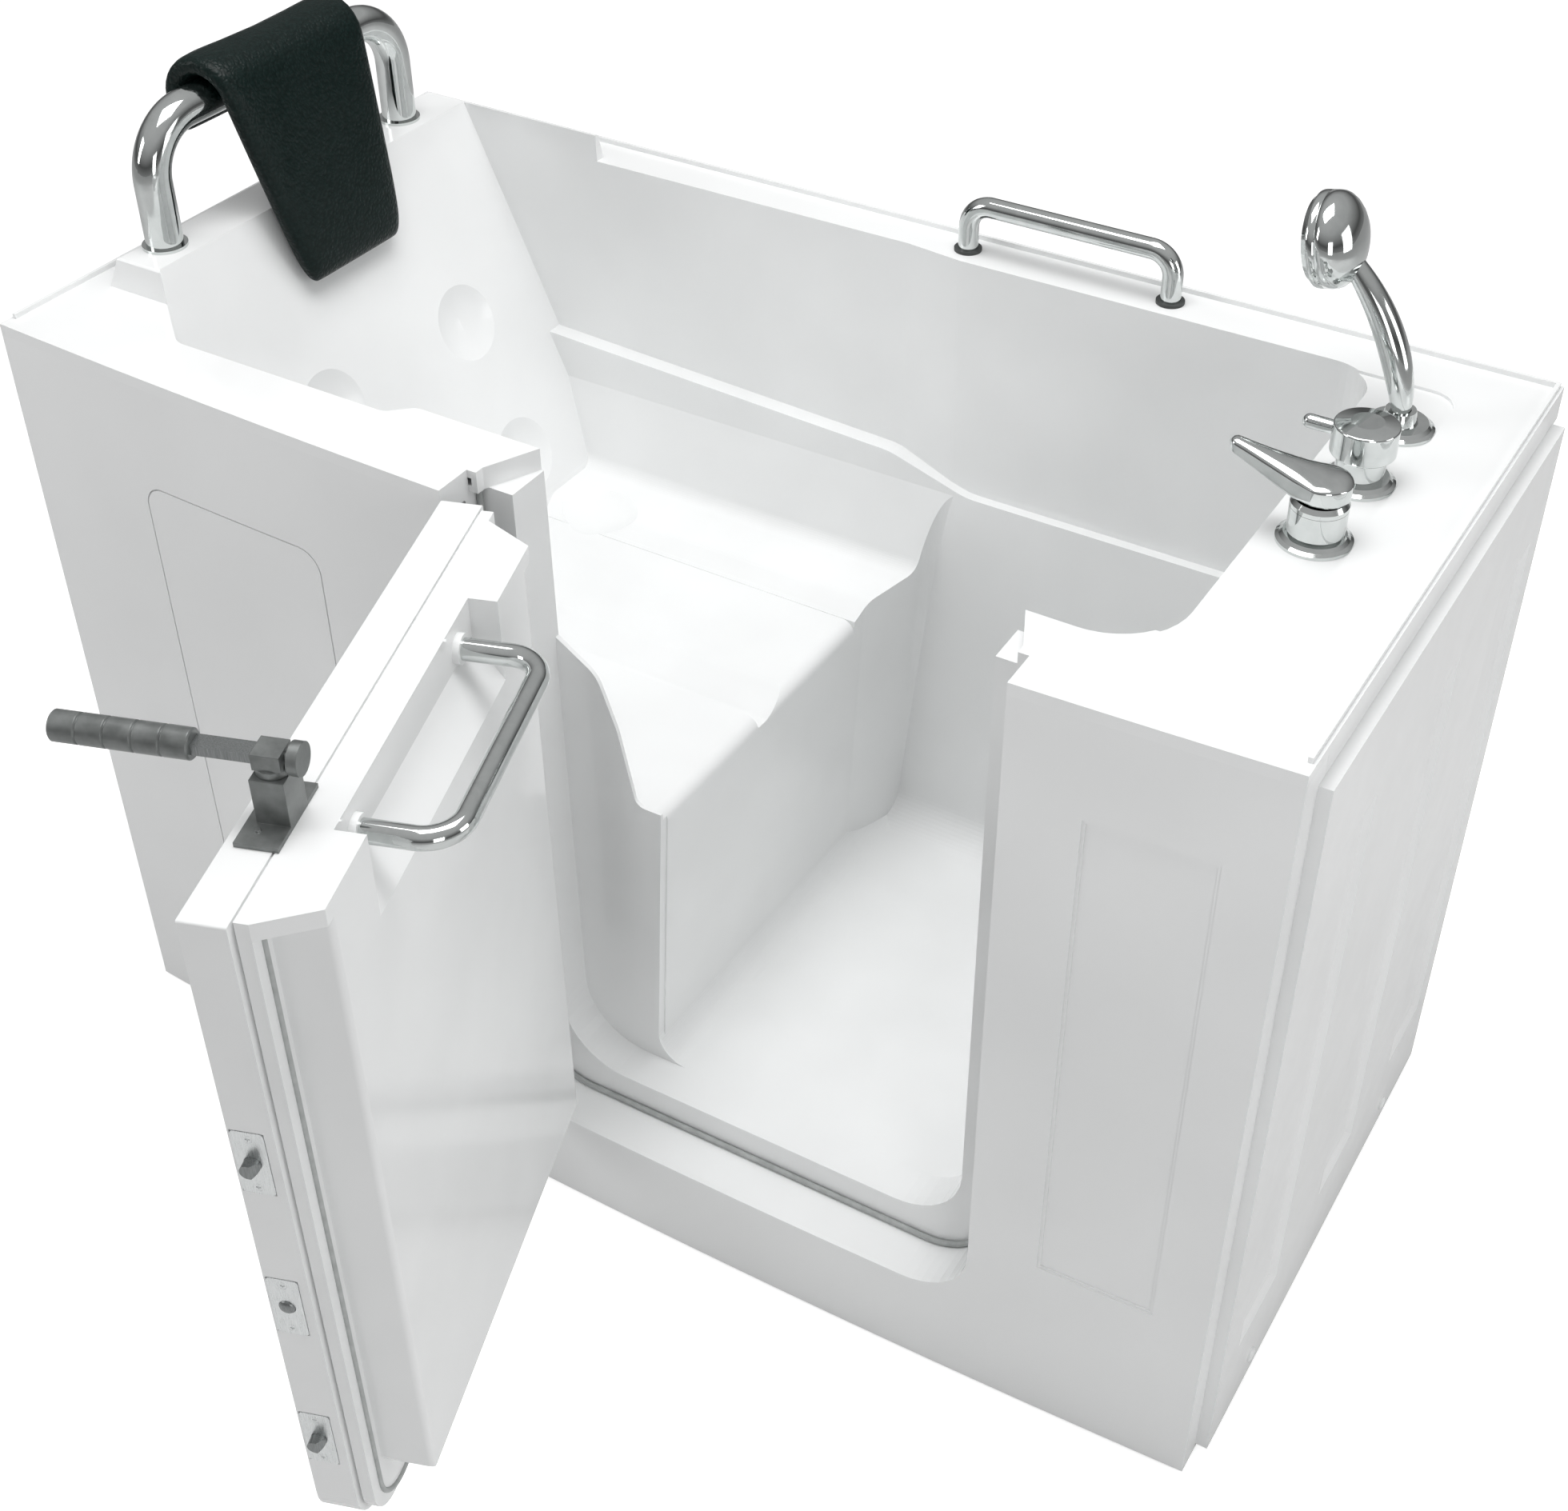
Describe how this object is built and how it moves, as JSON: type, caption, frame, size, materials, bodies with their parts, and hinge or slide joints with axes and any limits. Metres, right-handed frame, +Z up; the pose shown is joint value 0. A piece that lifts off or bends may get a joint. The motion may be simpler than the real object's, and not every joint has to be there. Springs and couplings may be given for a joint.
{
  "type": "walk in bathtub",
  "caption": "Walk in bathtub with an outward swinging sealed door, moulded seat and foot well, padded headrest on a bar, grab bars and deck mounted taps with a hand shower.",
  "frame": {"origin": "on the floor under the middle of the tub's footprint, at the middle levelling foot", "axes": "+X from the head end to the tap end, +Y from the door front to the back wall, +Z up"},
  "size_m": [1.362, 1.201, 1.0939],
  "materials": {
    "gelcoat": "gloss",
    "panel": "gloss",
    "chrome": "mirror polish",
    "lever_metal": "satin",
    "leather": "semi gloss, pebbled",
    "steel": "satin",
    "seal": "matt",
    "frame": "matt",
    "pipe": "matt",
    "brass": "satin",
    "collar": "gloss"
  },
  "bodies": {
    "tub": {"tub_shell": "gelcoat", "front_skirt": "panel", "access_panel": "panel", "end_panel": "panel", "end_panel_screws": "panel", "support_frame": "frame", "levelling_feet": "steel", "drain_flange": "chrome", "waste_pipe": "pipe", "overflow_pipe": "pipe", "overflow_plate": "chrome", "headrest_bar": "chrome", "back_grab_bar": "chrome", "grab_bar_collars": "seal", "mixer_escutcheon": "chrome", "mixer_body": "chrome", "diverter_escutcheon": "chrome", "diverter_body": "chrome", "handset_escutcheon": "chrome", "handset_holder": "chrome", "tap_nuts": "brass", "jamb_seal": "seal", "strike_plates": "steel", "hinge_jamb_leaf": "steel", "hinge_pin": "steel"},
    "door": {"door_outer_shell": "gelcoat", "door_inner_shell": "gelcoat", "door_seal": "seal", "door_grab_bar": "chrome", "door_bar_collars": "collar", "hinge_door_leaf": "steel", "latch_faceplates": "steel", "latch_screws": "steel", "lever_base": "lever_metal"},
    "lock_lever": {"lever_hub": "lever_metal", "lever_arm": "steel", "lever_grip": "lever_metal", "lever_roller": "lever_metal", "latch_rod": "steel"},
    "upper_bolt": {"upper_spring_bolt": "steel"},
    "lower_bolt": {"lower_spring_bolt": "steel"},
    "dead_bolt": {"middle_dead_bolt": "steel"},
    "mixer_turn_hub": {"mixer_hub": "chrome"},
    "mixer_handle": {"mixer_lever": "chrome"},
    "diverter_handle": {"diverter_knob": "chrome"},
    "hand_shower": {"handset_body": "chrome", "handset_face": "chrome"},
    "pillow": {"headrest_pillow": "leather"},
    "stopper": {"drain_stopper": "chrome"},
    "drain_knob": {"overflow_knob": "chrome"}
  },
  "joints": [
    {"name": "door_swing", "type": "hinge", "parent": "tub", "child": "door", "pos_m": [-0.11275, -0.35369, 0.53], "axis": [0, 0, 1], "range_deg": [-44, 71.8]},
    {"name": "lever_turn", "type": "hinge", "parent": "door", "child": "lock_lever", "pos_m": [0.05621, -0.74288, 0.93], "axis": [0, 0, -1], "range_deg": [0, 90]},
    {"name": "upper_bolt_slide", "type": "slide", "parent": "door", "child": "upper_bolt", "axis": [-0.3257, 0.9455, 0], "range_m": [0, 0.0095], "stiffness_N_per_m": 400, "springref_m": -0.004},
    {"name": "lower_bolt_slide", "type": "slide", "parent": "door", "child": "lower_bolt", "axis": [-0.3257, 0.9455, 0], "range_m": [0, 0.0095], "stiffness_N_per_m": 400, "springref_m": -0.004},
    {"name": "dead_bolt_slide", "type": "slide", "parent": "door", "child": "dead_bolt", "axis": [0.3257, -0.9455, 0], "range_m": [0, 0.012]},
    {"name": "mixer_turn", "type": "hinge", "parent": "tub", "child": "mixer_turn_hub", "pos_m": [0.563, -0.0285, 0.925], "axis": [0, 0, 1], "range_deg": [-45, 45]},
    {"name": "mixer_tilt", "type": "hinge", "parent": "mixer_turn_hub", "child": "mixer_handle", "pos_m": [0.58, -0.0285, 0.9326], "axis": [0, 1, 0], "range_deg": [0, 20]},
    {"name": "diverter_turn", "type": "hinge", "parent": "tub", "child": "diverter_handle", "pos_m": [0.563, 0.0775, 0.935], "axis": [0, 0, -1], "range_deg": [0, 90]},
    {"name": "hand_shower_lift", "type": "slide", "parent": "tub", "child": "hand_shower", "axis": [0, 0, 1], "range_m": [0, 0.25]},
    {"name": "pillow_swing", "type": "hinge", "parent": "tub", "child": "pillow", "pos_m": [-0.607, 0.0205, 1.042], "axis": [0, -1, 0], "range_deg": [0, 50]},
    {"name": "drain_knob_turn", "type": "hinge", "parent": "tub", "child": "drain_knob", "pos_m": [0.517, 0.0245, 0.76], "axis": [-1, 0, 0], "range_deg": [0, 90]},
    {"name": "stopper_lift", "type": "slide", "parent": "tub", "child": "stopper", "axis": [0, 0, 1], "range_m": [0, 0.008]}
  ],
  "couplings": [
    {"joint": "dead_bolt_slide", "follows": "lever_turn", "m_per_rad": 0.0076394},
    {"joint": "drain_knob_turn", "follows": "stopper_lift", "rad_per_m": 196.35}
  ]
}
